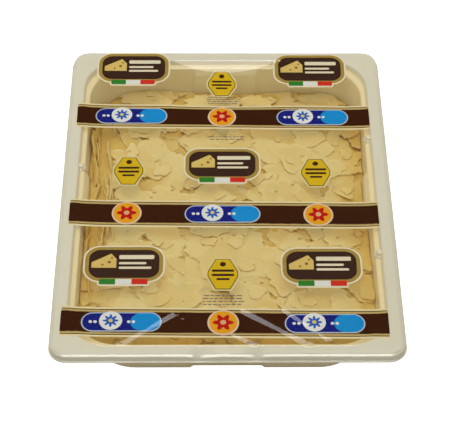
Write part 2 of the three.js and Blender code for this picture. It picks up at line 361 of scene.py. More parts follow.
tray_plastic = finish(
    "cream_plastic",
    CREAM_PALE,
    CREAM_DEEP,
    scale=9,
    lean=-0.1,
    relief=(60, 900, 0.25),
    depth=0.12,
    shine={
        "Roughness": 0.18,
        "Subsurface Weight": 0.3,
        "Subsurface Scale": 0.004,
        "Subsurface Radius": (1, 0.9, 0.7),
    },
)
# The sheet's colour is mixed towards painted bounce light from the cheese, low on its walls.
tinted(tray_plastic, "painted_bounce", CREAM_PAINTED_BOUNCE)
points, faces = tray_shell()
sheet = build("tray_shell", points, faces, tray_plastic, "tray_plastic", values={"painted_bounce": painted_bounce(points)})
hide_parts("tray")

# ------------------------ stacking lugs
# Four small bulges on the drop below the rim, formed in the same sheet, on which the tray above
# rests when empty trays are nested. Two stand in the left wall and two in the right one.
LUG_RADII = (4.6, 2.6)
LUG_DEPTH = 4.6
LUG_SIDES = 0.65
LUG_INSET = 1.4
LUG_PAINTED_BOUNCE = 0.35
LUG_PLACES = [(-1, 30), (-1, -30), (1, 61.5), (1, -61.5)]


def turns(count):
    """Even angles, once round."""
    return np.linspace(0, 2 * math.pi, count, endpoint=False)


def lug_rings():
    """Upright bulges: over LUG_SIDES of the depth the radius narrows by a cosine, and the top is
    rolled over by a quarter of an ellipse."""
    turn = turns(24)
    rise = np.linspace(0, 1, 9)
    foot, top = LUG_RADII
    side = top + (foot - top) * (1 + np.cos(math.pi * rise)) / 2
    roll = np.linspace(0, math.pi / 2, 6)[1:]
    radius = np.concatenate([[0.3], side, top * (0.4 + 0.6 * np.cos(roll))])
    height = np.concatenate([[0], rise, 1 + 0.25 * np.sin(roll)]) * LUG_DEPTH * LUG_SIDES
    radius, height = radius[:, None], height[:, None]
    bulge = np.stack([radius * np.cos(turn), radius * np.sin(turn), height + 0 * turn], axis=2)
    inside = BOWL_WIDTH / 2 - LUG_INSET
    low = TRAY_HEIGHT - ROLL - LUG_DEPTH
    return np.stack([bulge + [side * inside, y, low] for side, y in LUG_PLACES])


points, faces = skin(lug_rings())
# The lugs take a fixed share of the painted bounce light.
lug_painted_bounce = np.full(len(points), LUG_PAINTED_BOUNCE)
lugs = build("stacking_lugs", points, faces, tray_plastic, "tray_plastic", values={"painted_bounce": lug_painted_bounce})
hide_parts("tray")

# ------------------------ packed cheese
# Under the flakes that show lies a solid pack of others, pressed against the tray's walls. It is
# pale, slightly translucent hard cheese with a rough, grainy broken surface.
HEAP_MIDDLE = 38
HEAP_SWELL = 1.5
HEAP_INSET = 7
FALL_BACK = (17, 84, 138)
FALL_FRONT = (6, 112, 142)
FALL_SIDES = (3, 84, 112)
PACK_CLEAR = 0.5
PACK_ROUGH = 0.8
PACK_SHADE = 0.8
CHEESE_PALE = (0.68, 0.549, 0.233, 1)
CHEESE_DEEP = (0.65, 0.49, 0.17, 1)
# Painted shade: the deep gold that the cheese is mixed towards in hollows, low layers and along the walls,
# and for some of each piece's own tone.
CHEESE_GOLD_SHADE = (0.56, 0.355, 0.06, 1)
CHEESE_GLOW = (0.75, 0.62, 0.34, 1)


def heap_height(x, y):
    """Height of the heap: low swells, and along each wall a fall by its depth times a smooth step
    between its two distances from the middle."""
    fall = 0
    for (depth, start, end), away in ((FALL_BACK, y), (FALL_FRONT, -y), (FALL_SIDES, np.abs(x))):
        fall = fall + depth * smooth(start, end, away)
    return HEAP_MIDDLE - fall + HEAP_SWELL * np.sin(x / 31 + 0.6) * np.cos(y / 37) - HEAP_SWELL


def keep_inside(points):
    """Points beyond the tray's wall moved back to it, PACK_CLEAR away: first by their distance to
    the rounded rectangle at their height, then by how far the panels are pressed in there."""
    z = points[..., 2]
    insets, heights = zip((FOOT_INSET, 0), WALL_FOOT, WALL_TOP, LEDGE_END)
    inset = np.interp(z, heights, insets) + PACK_CLEAR
    corner = BOWL_CORNER + CORNER_GROWTH * inset
    edge = np.stack([BOWL_WIDTH / 2 - inset, BOWL_LENGTH / 2 - inset], axis=-1)
    half = edge - corner[..., None]
    flat = points[..., :2]
    past = np.abs(flat) - half
    beyond = np.maximum(past, 0)
    scale = np.minimum(1, corner / np.maximum(np.linalg.norm(beyond, axis=-1), 1e-6))[..., None]
    reach = np.where(past > 0, half + beyond * scale, np.abs(flat))
    press = PANEL_DEPTH * np.interp(z, heights[2:], [1, 0])[..., None]
    panel = 1 - smooth(PANEL_HALF, PANEL_HALF + PANEL_BLEND, np.abs(flat[..., ::-1]))
    points[..., :2] = np.sign(flat) * np.minimum(reach, edge - press * panel)
    return points


def pack_rings():
    """The block's underside from the middle outwards, its sides up the drafted walls, and its top
    from the wall in straight lines back to the middle, at the heap's height with a fine roughness."""
    floor = RAISED + PACK_CLEAR
    sides = [bowl_station(inset, floor, 1) for inset in (FLAT_MIDDLE, 30, 18)]
    sides += [bowl_station(14.5, 5, 1), bowl_station(WALL_FOOT[0] + PACK_CLEAR, WALL_FOOT[1] + 1, 1)]
    edge = outlines([bowl_station(HEAP_INSET, 0)])[0]
    edge[:, 2] = heap_height(edge[:, 0], edge[:, 1])
    top = keep_inside(edge) * np.linspace(1, 0.03, 41)[:, None, None]
    x, y = top[..., 0], top[..., 1]
    rough = PACK_ROUGH * np.sin(x / 3.1 + np.sin(y / 4.3) * 2) * np.sin(y / 3.7 + np.sin(x / 5.1) * 2)
    top[..., 2] = heap_height(x, y) + rough
    return np.concatenate([outlines(sides), top])[None]


def lit_through(material, share):
    """The material, through which lamps shine on what lies below, each colour by its share."""
    tree = material.node_tree
    surface = tree.nodes["Material Output"].inputs["Surface"]
    clear = add(tree, "ShaderNodeBsdfTransparent", {"Color": share})
    path = add(tree, "ShaderNodeLightPath")
    sides = {0: path.outputs["Is Shadow Ray"], 1: surface.links[0].from_socket, 2: clear.outputs[0]}
    tree.links.new(add(tree, "ShaderNodeMixShader", sides).outputs[0], surface)
    return material


cheese = finish(
    "hard_cheese",
    CHEESE_PALE,
    CHEESE_DEEP,
    scale=45,
    lean=-0.12,
    relief=(260, 1500, 0.4),
    depth=0.35,
    shine={
        "Roughness": 0.6,
        "Specular IOR Level": 0.2,
        "Subsurface Weight": 0.2,
        "Subsurface Scale": 0.002,
        "Subsurface Radius": (1, 0.85, 0.6),
    },
)
# The tone mixes the cheese towards painted gold shade, as well as by each piece's own tone.
tinted(cheese, "tone", CHEESE_GOLD_SHADE)
lit_through(cheese, CHEESE_GLOW)


def heap_piece(name, points, faces, tone):
    """A piece of the heap, coloured by a tone for each point, which carries painted gold shade."""
    piece = build(name, points, faces, cheese, "cheese", values={"tone": tone})
    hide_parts("cheese_flakes")


points, faces = skin(pack_rings())
# The pack lies under everything, so its tone is painted gold shade.
heap_piece("packed_cheese", points, faces, np.full(len(points), PACK_SHADE))

# ------------------------ lying flakes
# Shaved flakes, about a millimetre thick and 8 to 57 mm across, with torn edges. They fell into
# the tray one after the other, so each lies on those below it, tilted as they let it.
CELL = 1.5
FLAKE_THICK = 1.05
FULL_TURN = 6.28
BREAKS = 7
LONG_WAVES = ((2, 0.13), (3, 0.09), (4, 0.05))
SHORT_WAVES = ((6, 0.05), (9, 0.05), (14, 0.04), (21, 0.03))
UNDER_SPACING = 19
UNDER_SIZES = (9, 15)
UPPER_SPACING = 25
UPPER_SIZES = (15, 26)
BROKEN_SPACING = 29
BROKEN_SIZES = (4, 10)
STEEPEST = 0.24
CLEAR_PERCENT = 62
SAGS = 0.35
PRESSED_ABOVE = 44
PRESSED_BY = 4
CREST_CELLS = 6
# Painted shade: the depths below the crests, and the distances from the front and the sides, over which
# gold shade is painted in.
PAINTED_SHADE_HOLLOWS = (1.2, 4.2)
PAINTED_SHADE_FRONT = (118, 140)
PAINTED_SHADE_SIDES = (86, 112)
JITTER = (0.1, 0.9)
RIM_PALER = (1, 1, 0.4, 0, 0.3, 1, 1, 1)
RING_SHARES = np.array([0.25, 0.7, 0.97, 1.0, 0.93, 0.72, 0.42, 0.15])[:, None]
RING_RISES = np.array([-0.5, -0.5, -0.42, 0.12, 0.42, 0.5, 0.5, 0.5])[:, None] * FLAKE_THICK
STANDING_ROW = (-88, 110)
STANDING_EDGE = -84
rng = np.random.default_rng(41)


def press_down(points):
    """Points moved to the tray's room: back from its walls, and down under the lid film, where a
    height h above PRESSED_ABOVE becomes h / (1 + h / PRESSED_BY)."""
    over = np.maximum(points[..., 2] - PRESSED_ABOVE, 0)
    points[..., 2] -= over - over / (1 + over / PRESSED_BY)
    return keep_inside(points)


def torn_radii(count, around, torn):
    """Torn outlines as radii at even angles: a round form with a few long waves, broken straight
    across at random places, and frayed by short waves and small random nicks. `torn` is the
    share of all this that is left."""
    angle = turns(around)[None]

    def each(low, high):
        return rng.uniform(low, high, (count, 1))

    radius = np.ones((count, around))
    for wave, height in LONG_WAVES:
        radius += height * each(0.3, 1) * np.sin(wave * angle + each(0, FULL_TURN))
    for _ in range(BREAKS):
        facing = angle - each(0, FULL_TURN)
        radius = np.minimum(radius, each(0.55, 0.95) / np.maximum(np.cos(facing), 0.05))
    for wave, height in SHORT_WAVES:
        radius += height * each(0.1, 1) * np.sin(wave * angle + each(0, FULL_TURN))
    nicks = rng.normal(0, 0.025, (count, around))
    return 1 + torn * (radius + nicks + 0.5 * np.roll(nicks, 1, axis=1) - 1)


class Flakes:
    """Flakes of one kind: their torn outlines, sizes, curls and headings, as whole arrays."""

    def __init__(self, count, around, sizes, torn=1):
        self.radii = torn_radii(count, around, torn) * rng.uniform(*sizes, (count, 1))
        self.stretch = rng.uniform(1.0, 1.22, count)
        self.heading = rng.uniform(0, FULL_TURN, count)
        self.curl = rng.uniform(-0.003, 0.004, count)
        self.twist = rng.uniform(-0.004, 0.004, count)
        self.phase = rng.uniform(0, FULL_TURN, count)

    def bend(self, k, u, v):
        """Height of flake k's middle surface at u along it and v across: curl u^2 + twist u v, and
        a low ripple."""
        ripple = 0.3 * np.sin(u / 4.5 + self.phase[k]) * np.sin(v / 5.5 + 2 * self.phase[k])
        return self.curl[k] * u * u + self.twist[k] * u * v + ripple

    def rings(self, k):
        """Flake k lying flat round the origin: its underside from the middle to the torn edge, and
        its upper face back, thinner towards the edge."""
        angle = turns(self.radii.shape[1])
        u = RING_SHARES * self.radii[k] * np.cos(angle) * self.stretch[k]
        v = RING_SHARES * self.radii[k] * np.sin(angle) / self.stretch[k]
        return np.stack([u, v, self.bend(k, u, v) + RING_RISES], axis=2)


def cells(x, y):
    """Row and column of the heap's cells that hold the places."""
    row, column = (y + BOWL_LENGTH / 2) / CELL, (x + BOWL_WIDTH / 2) / CELL
    high, wide = heap_top.shape
    return np.clip(row.astype(int), 0, high - 1), np.clip(column.astype(int), 0, wide - 1)


def sagged(middle, below):
    """A flake's middle surface, sunk by SAGS of its distance to what lies below it."""
    return middle - SAGS * np.maximum(middle - FLAKE_THICK / 2 - below, 0)


def settle(flakes, centres):
    """Lays the flakes down in turn: flake k gets the plane that best fits the heap under it, no
    steeper than STEEPEST, is lifted until CLEAR_PERCENT of it is clear, sags, and raises the heap."""
    laid = []
    angles = turns(flakes.radii.shape[1])
    for k, (cx, cy) in enumerate(centres):
        dx, dy = heap_x - cx, heap_y - cy
        cos, sin = math.cos(flakes.heading[k]), math.sin(flakes.heading[k])
        u, v = cos * dx + sin * dy, cos * dy - sin * dx
        s = flakes.stretch[k]
        reach = np.interp(np.arctan2(v * s, u / s), angles, flakes.radii[k], period=2 * math.pi)
        under = np.hypot(u / s, v * s) < reach
        x, y, z = dx[under], dy[under], heap_top[under]
        level, slope_x, slope_y = np.linalg.lstsq(np.stack([0 * x + 1, x, y], axis=1), z, rcond=None)[0]
        ease = min(1, STEEPEST / max(math.hypot(slope_x, slope_y), 1e-6))
        slope_x, slope_y = slope_x * ease, slope_y * ease
        shape = slope_x * x + slope_y * y + flakes.bend(k, u[under], v[under])
        lift = np.percentile(z - shape, CLEAR_PERCENT) + FLAKE_THICK / 2
        rings = flakes.rings(k)
        px, py = cos * rings[..., 0] - sin * rings[..., 1], sin * rings[..., 0] + cos * rings[..., 1]
        middle = rings[..., 2] - RING_RISES + slope_x * px + slope_y * py + lift
        pz = sagged(middle, heap_top[cells(px + cx, py + cy)]) + RING_RISES
        laid.append(np.stack([px + cx, py + cy, pz], axis=-1))
        heap_top[under] = np.maximum(z, sagged(shape + lift, z) + FLAKE_THICK / 2)
    return press_down(np.stack(laid))


def scattered(spacing, edge):
    """Places on a jittered grid over the bowl, in random order, `edge` inside its opening."""
    width, length = BOWL_WIDTH - 2 * edge, BOWL_LENGTH - 2 * edge
    columns, rows = round(width / spacing), round(length / spacing)
    column, row = np.meshgrid(np.arange(columns), np.arange(rows))
    x = (column.ravel() + rng.uniform(*JITTER, column.size)) / columns - 0.5
    y = (row.ravel() + rng.uniform(*JITTER, row.size)) / rows - 0.5
    return rng.permutation(np.stack([x * width, y * length], axis=1))


def crests(relief):
    """The highest relief within CREST_CELLS cells of each cell."""
    for _ in range(CREST_CELLS):
        wide = np.pad(relief, 1, mode="edge")
        beside = [wide[2:, 1:-1], wide[:-2, 1:-1], wide[1:-1, 2:], wide[1:-1, :-2]]
        relief = np.maximum.reduce([relief, *beside])
    return relief


def tones(points, pieces, low, high, paler=RIM_PALER):
    """A tone for each point: a random one for its piece, paler on the rings near its torn edge, and
    painted gold shade towards the tray's walls and in the hollows, by how far the point lies below
    the crests round it."""
    share = np.append(np.repeat(paler, len(points) // pieces // len(paler)), [1, 1])
    own = (rng.uniform(low, high, (pieces, 1)) * share).ravel()
    x, y, z = points.T
    depth = crests(heap_top - heap_height(heap_x, heap_y))[cells(x, y)] + heap_height(x, y) - z
    gold_and_shade = np.maximum(smooth(*PAINTED_SHADE_FRONT, -y), 0.7 * smooth(*PAINTED_SHADE_SIDES, np.abs(x)))
    gold_and_shade = np.maximum(gold_and_shade, 0.9 * smooth(*PAINTED_SHADE_HOLLOWS, depth))
    return own + (1 - own) * gold_and_shade


heap_x, heap_y = np.meshgrid(
    np.arange(-BOWL_WIDTH / 2, BOWL_WIDTH / 2, CELL), np.arange(-BOWL_LENGTH / 2, BOWL_LENGTH / 2, CELL)
)
heap_top = heap_height(heap_x, heap_y)
laid = []
# The lower flakes' tones are deeper, painted shade for the layer under the rest; the others' tones differ
# only at random.
for name, spacing, sizes, around, edge, gold_and_shade in (
    ("lower_flakes", UNDER_SPACING, UNDER_SIZES, 36, HEAP_INSET, (0.4, 0.9)),
    ("upper_flakes", UPPER_SPACING, UPPER_SIZES, 72, 10, (0, 0.4)),
    ("broken_flakes", BROKEN_SPACING, BROKEN_SIZES, 40, 8, (0, 0.4)),
):
    places = scattered(spacing, edge)
    # The standing row's place is left free.
    places = places[(places[:, 1] < STANDING_ROW[0] + 8) | (places[:, 0] > STANDING_EDGE)]
    kind = Flakes(len(places), around, sizes)
    laid.append((name, len(places), gold_and_shade, *skin(settle(kind, places))))
for name, count, gold_and_shade, points, faces in laid:
    heap_piece(name, points, faces, tones(points, count, *gold_and_shade))

# ------------------------ standing flakes
# Along the left wall a row of flakes slid down and stands on edge, one beside the other, between
# the heap and the wall.
STANDING = 46
STANDING_SIZES = (13, 17)
STANDING_ACROSS = (-117, -91)
STANDING_LEAN = (1.45, 1.85)
STANDING_TURN = (-0.2, 0.2)
STANDING_STRETCH = (0.7, 0.9)
STANDING_THICKER = 1.7
STANDING_ABOVE = (3.0, 7.5)
STANDING_TORN = 0.45


def standing_rings():
    """Flakes turned up about the length of the tray, leaning to the wall, each at its own turn.
    Each one's top lies STANDING_ABOVE over the heap, and it is moved away from the wall whole. The
    turn mirrors a flake, so its rings run the other way round and its faces still point out."""
    flakes = Flakes(STANDING, 40, STANDING_SIZES, STANDING_TORN)
    flakes.stretch = rng.uniform(*STANDING_STRETCH, STANDING)
    each = (STANDING, 1, 1)
    y = np.linspace(*STANDING_ROW, STANDING).reshape(each) + rng.uniform(-3, 3, each)
    x = rng.uniform(*STANDING_ACROSS, each)
    lean = rng.uniform(*STANDING_LEAN, each)
    turn = rng.uniform(*STANDING_TURN, each)
    above = rng.uniform(*STANDING_ABOVE, each)
    flat = np.stack([flakes.rings(k)[:, ::-1] for k in range(STANDING)]) * [1, 1, STANDING_THICKER]
    cos, sin = np.cos(lean), np.sin(lean)
    across, up = flat[..., 0] * cos + flat[..., 2] * sin, flat[..., 0] * sin - flat[..., 2] * cos
    cos, sin = np.cos(turn), np.sin(turn)
    px = cos * across - sin * flat[..., 1] + x
    py = sin * across + cos * flat[..., 1] + y
    pz = up - up.max(axis=(1, 2), keepdims=True) + (heap_height(x, y) + above)
    rings = np.stack([px, py, pz], axis=-1)
    kept = keep_inside(rings.copy())
    rings[..., 0] += (kept - rings)[..., 0].max(axis=(1, 2), keepdims=True)
    return press_down(rings)


points, faces = skin(standing_rings())
heap_piece("standing_flakes", points, faces, tones(points, STANDING, 0.1, 0.8))

# ------------------------ crumbs
# Small crumbs that broke off the flakes when the pack was filled and shaken. They lie all over the
# heap, clear of the walls.
CRUMBS = 110
CRUMB_SIZES = (0.4, 1.4)
CRUMB_SPREAD = (-0.45, 0.45)


def crumb_rings():
    """Small lumps: ellipsoids whose radius is roughened at each point."""
    rise = np.linspace(-0.85, 0.85, 5)[None, :, None]
    turn = turns(8)[None, None]
    size = rng.uniform(*CRUMB_SIZES, (CRUMBS, 1, 1))
    radius = np.sqrt(1 - rise**2) * size * rng.uniform(0.7, 1.2, (CRUMBS, 5, 8))
    place = rng.uniform(*CRUMB_SPREAD, (CRUMBS, 2)) * [BOWL_WIDTH, BOWL_LENGTH]
    z = heap_top[cells(*place.T)][:, None, None] + rise * size * 0.7 + size * 0.4
    x = radius * np.cos(turn) * 1.3 + place[:, 0, None, None]
    y = radius * np.sin(turn) + place[:, 1, None, None]
    return press_down(np.stack([x, y, z + 0 * x], axis=-1))


points, faces = skin(crumb_rings())
heap_piece("crumbs", points, faces, tones(points, CRUMBS, 0.0, 0.6, paler=np.ones(5)))

# ------------------------ lid film
# The lid is one clear film, sealed to the rim all round. It hangs a little inside the opening,
# is drawn down along the back edge, and has a few sharp folds along the front one.
FILM_LOW = TRAY_HEIGHT + 0.42
FILM_THICK = 0.15
FILM_INSET = 3
SAG = 0.7
SAG_REACH = 25
BEAD_HEIGHT = 0.06
BEAD_WIDTH = 0.8
TROUGH_SLOPE = 0.3
TROUGH_REACH = (9.5, 16)
TROUGH_HALF = 48
TROUGH_DIES = (22, 75)
FOLD_SLOPE = 0.1
FINE_ENDS = (-98, 120)
FILM_ROWS = (110, 34, 56)
FILM_COLUMNS = 240


def film_hang(x, y):
    """How far the film lies above (+) or below its seal: a bead along the opening's edge, a shallow
    hang, and a trough along the back edge, whose slope is TROUGH_SLOPE near the seal and dies away
    further in. Both distances shrink towards the trough's ends as 1 - u^2."""
    inside = inside_opening(x, y)
    bead = BEAD_HEIGHT * np.maximum(1 - np.abs(inside + BEAD_WIDTH / 2) / BEAD_WIDTH, 0)
    hang = SAG * smooth(0, SAG_REACH, inside) - bead
    room = np.clip(1 - (x / TROUGH_HALF) ** 2, 1e-3, 1)
    start, end = TROUGH_REACH[0] * room, TROUGH_REACH[1] * room
    behind = np.maximum(BOWL_LENGTH / 2 - y, 0)
    t = np.clip((behind - start) / (end - start), 0, 1)
    drop = np.minimum(behind, start) + (end - start) * (t - t**3 + t**4 / 2)
    return -hang - TROUGH_SLOPE * drop * (1 - smooth(*TROUGH_DIES, behind))


# Each fold: its two ends, and the width of each of its sides.
FOLDS = [
    ((-83.0, -151.0), (-39.0, -119.0), 5.0),
    ((-39.0, -119.0), (-32.5, -127.0), 1.8),
    ((6.0, -113.5), (63.5, -151.0), 5.2),
    ((38.5, -113.5), (76.5, -146.5), 4.2),
    ((1.0, -138.5), (22.5, -150.5), 4.0),
]


def fold_height(x, y, start, end, width):
    """A fold in the film: a ridge whose two sides fall at FOLD_SLOPE over `width`, and which
    narrows to nothing at its ends."""
    start, end = np.array(start), np.array(end)
    length = np.linalg.norm(end - start)
    way = (end - start) / length
    across = np.array([way[1], -way[0]]) * (1 if way[0] > 0 else -1)
    dx, dy = x - start[0], y - start[1]
    along, side = (dx * way[0] + dy * way[1]) / length, dx * across[0] + dy * across[1]
    wide = width * smooth(-0.02, 0.12, along) * (1 - smooth(0.95, 1.03, along)) + 1e-6
    return FOLD_SLOPE * wide * np.maximum(1 - np.abs(side / wide), 0)


def loops(x, y, out, back):
    """Loops across a thin layer: through its points at the heights `out`, and back at `back`."""
    there, home = (np.stack([x, y, z], axis=-1) for z in (out, back))
    return np.concatenate([there, home[:, ::-1]], axis=1)


def film_rings():
    """Loops round the film's cross-section, one for each place along Y: across its upper face and
    back along its lower one. The loops are closer beyond FINE_ENDS, where the folds and the trough
    are, and the film's corners are quarter circles."""
    half_width, half_length = TRAY_WIDTH / 2 - FILM_INSET, TRAY_LENGTH / 2 - FILM_INSET
    corner = RIM_CORNER - FILM_INSET
    front, back = FINE_ENDS
    spans = [(-half_length, front), (front + 4, back - 4), (back, half_length)]
    y = np.concatenate([np.linspace(*span, rows) for span, rows in zip(spans, FILM_ROWS)])
    past = np.maximum(np.abs(y) - (half_length - corner), 0)
    half = half_width - corner + np.sqrt(np.maximum(corner**2 - past**2, 0))
    x = np.linspace(-1, 1, FILM_COLUMNS)[None] * half[:, None]
    y = y[:, None] + 0 * x
    flat = FILM_LOW + film_hang(x, y)
    z = flat
    for fold in FOLDS:
        z = np.maximum(z, flat + fold_height(x, y, *fold))
    return loops(x, y, z + FILM_THICK, z)[None]


def film_finish():
    """Clear film: it bends and mirrors light as plastic does, and lets lamps shine through it."""
    material = finish(
        "clear_film",
        (1, 1, 1, 1),
        (0.985, 0.98, 0.965, 1),
        scale=12,
        lean=0,
        relief=(25, 160, 0.1),
        depth=0.004,
        shine={"Roughness": 0.05, "Transmission Weight": 1.0, "IOR": 1.52},
    )
    return lit_through(material, (1, 1, 1, 1))


film = build("lid_film_sheet", *skin(film_rings()), film_finish(), "clear_film", crease=60)
film.visible_diffuse = False
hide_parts("lid_film")

# ------------------------ printed bands
# The film is printed on its inner side, which its own gloss then covers. Three dark brown bands
# run across it, each between a gold line, a thin dark line and a pale line on both sides.
INK_STEP = 0.04
INK_THICK = 0.02
INK_RINGS_APART = 3
INK_LETS_THROUGH = (0.80, 0.69, 0.40, 1)
PRINT_TILT = -0.0122
PRINT_MIDDLE = -3.3
COLUMN_STEP = 75.75
BAND_PLACES = (83.8, -23.5, -130.1)
BAND_ENDS = (-124, 119.5)
EDGE_ENDS = (BAND_ENDS[0] - 0.4, BAND_ENDS[1] + 0.4)


def band_line(x, place):
    """The print was sealed on slightly askew, so a band's middle falls with x."""
    return place + PRINT_TILT * (x - PRINT_MIDDLE)


def ink_height(x, y, level):
    """Height of an ink's upper face. Level 0 lies against the film and later ones under it, closer
    over the rim than over the bowl."""
    step = INK_STEP * (1 + 2.5 * smooth(0, 8, inside_opening(x, y)))
    return FILM_LOW - step * (level + 0.5) + film_hang(x, y)


def ink(name, tone, level, places, *fields):
    """One ink's fields at each of the places, as one piece. A field is a closed outline (around, 2)
    about the origin, all of as many points, which is drawn together onto its middle in rings."""
    outline = np.array([field + place for place in np.array(places) for field in fields])
    middle = outline.mean(axis=1, keepdims=True)
    reach = np.abs(outline - middle).max()
    share = np.linspace(0.08, 1, 2 + int(reach / INK_RINGS_APART))[None, :, None, None]
    x, y = np.moveaxis(middle[:, None] + share * (outline - middle)[:, None], -1, 0)
    top = ink_height(x, y, level)
    return printed(name, tone, loops(x, y, top - INK_THICK, top))


def printed(name, tone, rings):
    """Ink on film: a flat colour whose density drifts a little, and that lets some light through."""
    deep = tuple(0.9 * part for part in tone)
    material = finish(
        name,
        (*tone, 1),
        (*deep, 1),
        scale=70,
        lean=0,
        relief=(300, 1500, 0.5),
        depth=0.01,
        shine={"Roughness": 0.6, "Specular IOR Level": 0},
    )
    piece = build(name, *skin(rings), lit_through(material, INK_LETS_THROUGH), crease=60)
    piece.visible_diffuse = False
    return piece


def stripe(name, tone, level, low, high, ends=BAND_ENDS):
    """A long stripe of ink on each band, from `low` to `high` beside its middle, as a flat profile
    carried along the band."""
    x = np.linspace(*ends, 120)[:, None]
    stacks = []
    for place in BAND_PLACES:
        across = np.linspace(low, high, 2 + round((high - low) / 2.5))
        xs, ys = x + 0 * across, band_line(x, place) + across
        top = ink_height(xs, ys, level)
        stacks.append(loops(xs, ys, top - INK_THICK, top))
    return printed(name, tone, np.stack(stacks))


stripe("band_bar", (0.040, 0.0105, 0.002), 6, -9.3, 9.3)
stripe("band_bar_edge", (0.012, 0.006, 0.004), 7, -9.7, 9.7, EDGE_ENDS)
for side, name in ((1, "back"), (-1, "front")):
    for part, tone, level, near, far in (
        ("gold", (0.50, 0.36, 0.13), 7, 9.2, 11.3),
        ("dark", (0.10, 0.065, 0.015), 6, 11.2, 12.1),
        ("pale", (0.72, 0.60, 0.33), 7, 11.8, 13.8),
    ):
        stripe(f"band_{part}_line_{name}", tone, level, *sorted((side * near, side * far)))

# ------------------------ printed labels
# Above every other crossing of band and column stands a generic label: a rounded field with a cream
# border and a gold rim round dark brown, with a plain wedge and bars, over a strip of three colours.
LABEL_SIZE = (60, 33.5)
LABEL_CORNER = 12
LABEL_BORDER = 1.3
LABEL_RIM = 3
LABEL_ABOVE = (57.3, 53.3, 55.1)
STRIP_AT = -17.5
STRIP_SIZE = (37, 5.2)
NEARLY_ROUND = 0.01
AROUND = 96


def rectangle(width, height, corner, x=0.0, y=0.0):
    """A rounded rectangle's outline: four quarter circles of evenly spaced points, which straight
    sides join."""
    quarter = np.linspace(0, math.pi / 2, AROUND // 4 + 1)[:-1] + math.pi / 2 / (AROUND // 4) / 2
    points = []
    for turn, (sx, sy) in enumerate(((1, 1), (-1, 1), (-1, -1), (1, -1))):
        angle = quarter + turn * math.pi / 2
        centre = np.array([sx * (width / 2 - corner), sy * (height / 2 - corner)])
        points.append(centre + corner * np.stack([np.cos(angle), np.sin(angle)], axis=1))
    return np.concatenate(points) + [x, y]


def polygon(corners):
    """An outline through the corners, its points shared out evenly among the straight sides."""
    steps = np.linspace(0, len(corners), AROUND, endpoint=False)
    whole = steps.astype(int)
    part = (steps - whole)[:, None]
    return corners[whole] * (1 - part) + corners[(whole + 1) % len(corners)] * part


def wedge(width, height, x, y):
    """A wedge of cheese seen from its side: a long low triangle with a cut-off point."""
    corners = np.array([(0.5, -0.5), (0.5, 0.12), (0.28, 0.5), (-0.5, -0.12), (-0.5, -0.5)])
    return polygon(corners * [width, height]) + [x, y]


def motif_places(odd, above=(0, 0, 0)):
    """Middles of a motif that stands at every other crossing of the print's columns and bands, by
    how far it lies above each band."""
    places = []
    for row, band in enumerate(BAND_PLACES):
        for column in (-1, 0, 1):
            if (row + column) % 2 == odd:
                x = PRINT_MIDDLE + column * COLUMN_STEP
                places.append((x, band_line(x, band) + above[row]))
    return places


labels = motif_places(1, LABEL_ABOVE)
width, height = LABEL_SIZE
strip_width, strip_height = STRIP_SIZE
border = 2 * LABEL_BORDER
plate = rectangle(width + border, height + border, LABEL_CORNER + LABEL_BORDER)
tab = rectangle(strip_width + border, strip_height + border, 2.2, 0, STRIP_AT)
ink("label_border", (0.74, 0.66, 0.46), 4, labels, plate, tab)
ink("label_gold", (0.34, 0.23, 0.05), 3, labels, rectangle(width, height, LABEL_CORNER))
field = rectangle(width - 2 * LABEL_RIM, height - 2 * LABEL_RIM, LABEL_CORNER - LABEL_RIM)
ink("label_field", (0.042, 0.018, 0.010), 2, labels, field)
ink("label_wedge", (0.62, 0.44, 0.12), 1, labels, wedge(19, 14, -15.5, 3))
holes = [(1.3, -11.5, 1.5), (0.9, -16.5, -1), (0.8, -9.5, 5.5)]
holes = [rectangle(2 * radius, 2 * radius, radius - NEARLY_ROUND, x, y) for radius, x, y in holes]
ink("label_wedge_holes", (0.20, 0.11, 0.02), 0, labels, *holes)
bars = [(27, 4, 1, 9.5, 6.5), (21, 2.2, 0.8, 6.5, 0.5), (25, 2.2, 0.8, 8.5, -4)]
bars = [rectangle(*bar) for bar in bars]
ink("label_bars", (0.70, 0.62, 0.42), 1, labels, *bars)
ink("strip_white", (0.66, 0.66, 0.58), 1, labels, rectangle(*STRIP_SIZE, 1.2, 0, STRIP_AT))
third = strip_width / 3
green, red = [rectangle(third, strip_height, 0.6, side * third, STRIP_AT) for side in (-1, 1)]
ink("strip_green", (0.03, 0.19, 0.025), 0, labels, green)
ink("strip_red", (0.56, 0.03, 0.015), 0, labels, red)

# ------------------------ printed capsules
# On the band under each label lies a blue capsule: dark blue with a lighter end, a pale border, and
# a pale disc with a blue flower of eight petals, between two pairs of dots.
CAPSULE_SIZE = (58, 16)
CAPSULE_BORDER = 1
DISC_AT = (-8, 1)
CAPSULE_WHITE = (0.68, 0.68, 0.62)


def round_field(radius, depth=0.0, petals=6, at=(0, 0)):
    """A circle whose radius waves by `depth` as it goes round, once for each petal."""
    angle = turns(AROUND)
    reach = radius + depth * np.cos(petals * angle)
    return np.stack([reach * np.cos(angle), reach * np.sin(angle)], axis=1) + at


